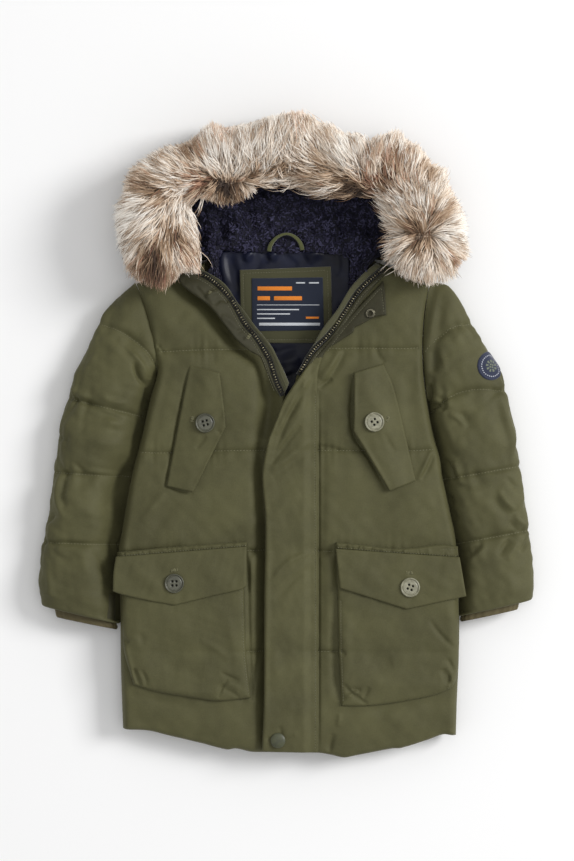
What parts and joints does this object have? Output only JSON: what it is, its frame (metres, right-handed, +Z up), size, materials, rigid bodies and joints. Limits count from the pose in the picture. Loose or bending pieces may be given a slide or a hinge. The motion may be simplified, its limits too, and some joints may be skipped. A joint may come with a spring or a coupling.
{
  "type": "fur trimmed parka",
  "caption": "Child's olive padded parka laid flat, with a fleece lined hood edged in long pile faux fur, a zip under a storm flap, slanted chest flaps and buttoned patch pockets",
  "frame": {"origin": "on the flat underside of the back panel, near the middle of the coat's length and under the line of the zip", "axes": "+Y towards the collar and hood, +X towards the wearer's left sleeve, +Z up out of the surface that the coat lies on"},
  "size_m": [0.5565, 0.7288, 0.1],
  "materials": {
    "shell_cloth": "matt peached polyester, olive",
    "cuff_cloth": "gathered olive cloth, in shade",
    "teddy_fleece": "curly pile, navy",
    "faux_fur": "long pile, cream and tan with dark tips",
    "satin_lining": "smooth satin, navy",
    "woven_label": "damask woven label",
    "tape": "ribbed tape",
    "zip_metal": "dark antique metal",
    "horn_button": "semi-gloss resin",
    "stud_cap": "satin enamel",
    "stud_metal": "dull nickel",
    "badge": "embroidered twill"
  },
  "bodies": {
    "coat": {"back_panel": "shell_cloth", "front_right": "shell_cloth", "front_left": "shell_cloth", "sleeve_right": "shell_cloth", "sleeve_left": "shell_cloth", "cuff_right": "cuff_cloth", "cuff_left": "cuff_cloth", "hood_side_right": "shell_cloth", "hood_centre": "shell_cloth", "hood_side_left": "shell_cloth", "hood_lining": "teddy_fleece", "fur_trim": "faux_fur", "back_lining": "satin_lining", "neck_patch": "shell_cloth", "neck_label": "woven_label", "hanger_loop": "tape", "edge_band_right": "shell_cloth", "edge_band_left": "shell_cloth", "wind_guard_right": "tape", "wind_guard_left": "tape", "zip_chain_right": "zip_metal", "zip_chain_left": "zip_metal", "zip_chain_closed": "zip_metal", "zip_tape_right": "tape", "zip_tape_left": "tape", "zip_slider": "zip_metal", "storm_flap": "shell_cloth", "chest_flap_right": "shell_cloth", "chest_flap_left": "shell_cloth", "pocket_right": "shell_cloth", "pocket_left": "shell_cloth", "pocket_strip_right": "shell_cloth", "pocket_strip_left": "shell_cloth", "pocket_flap_right": "shell_cloth", "pocket_flap_left": "shell_cloth", "button_chest_right": "horn_button", "button_chest_left": "horn_button", "button_pocket_right": "horn_button", "button_pocket_left": "horn_button", "stud_hem": "stud_cap", "stud_socket": "stud_metal", "badge": "badge"},
    "pull": {"zip_pull": "zip_metal"}
  },
  "joints": [
    {"name": "pull_tab_lift", "type": "hinge", "parent": "coat", "child": "pull", "pos_m": [0.00226, 0.03616, 0.03845], "axis": [-1, 0, 0], "range_deg": [0, 9]}
  ]
}
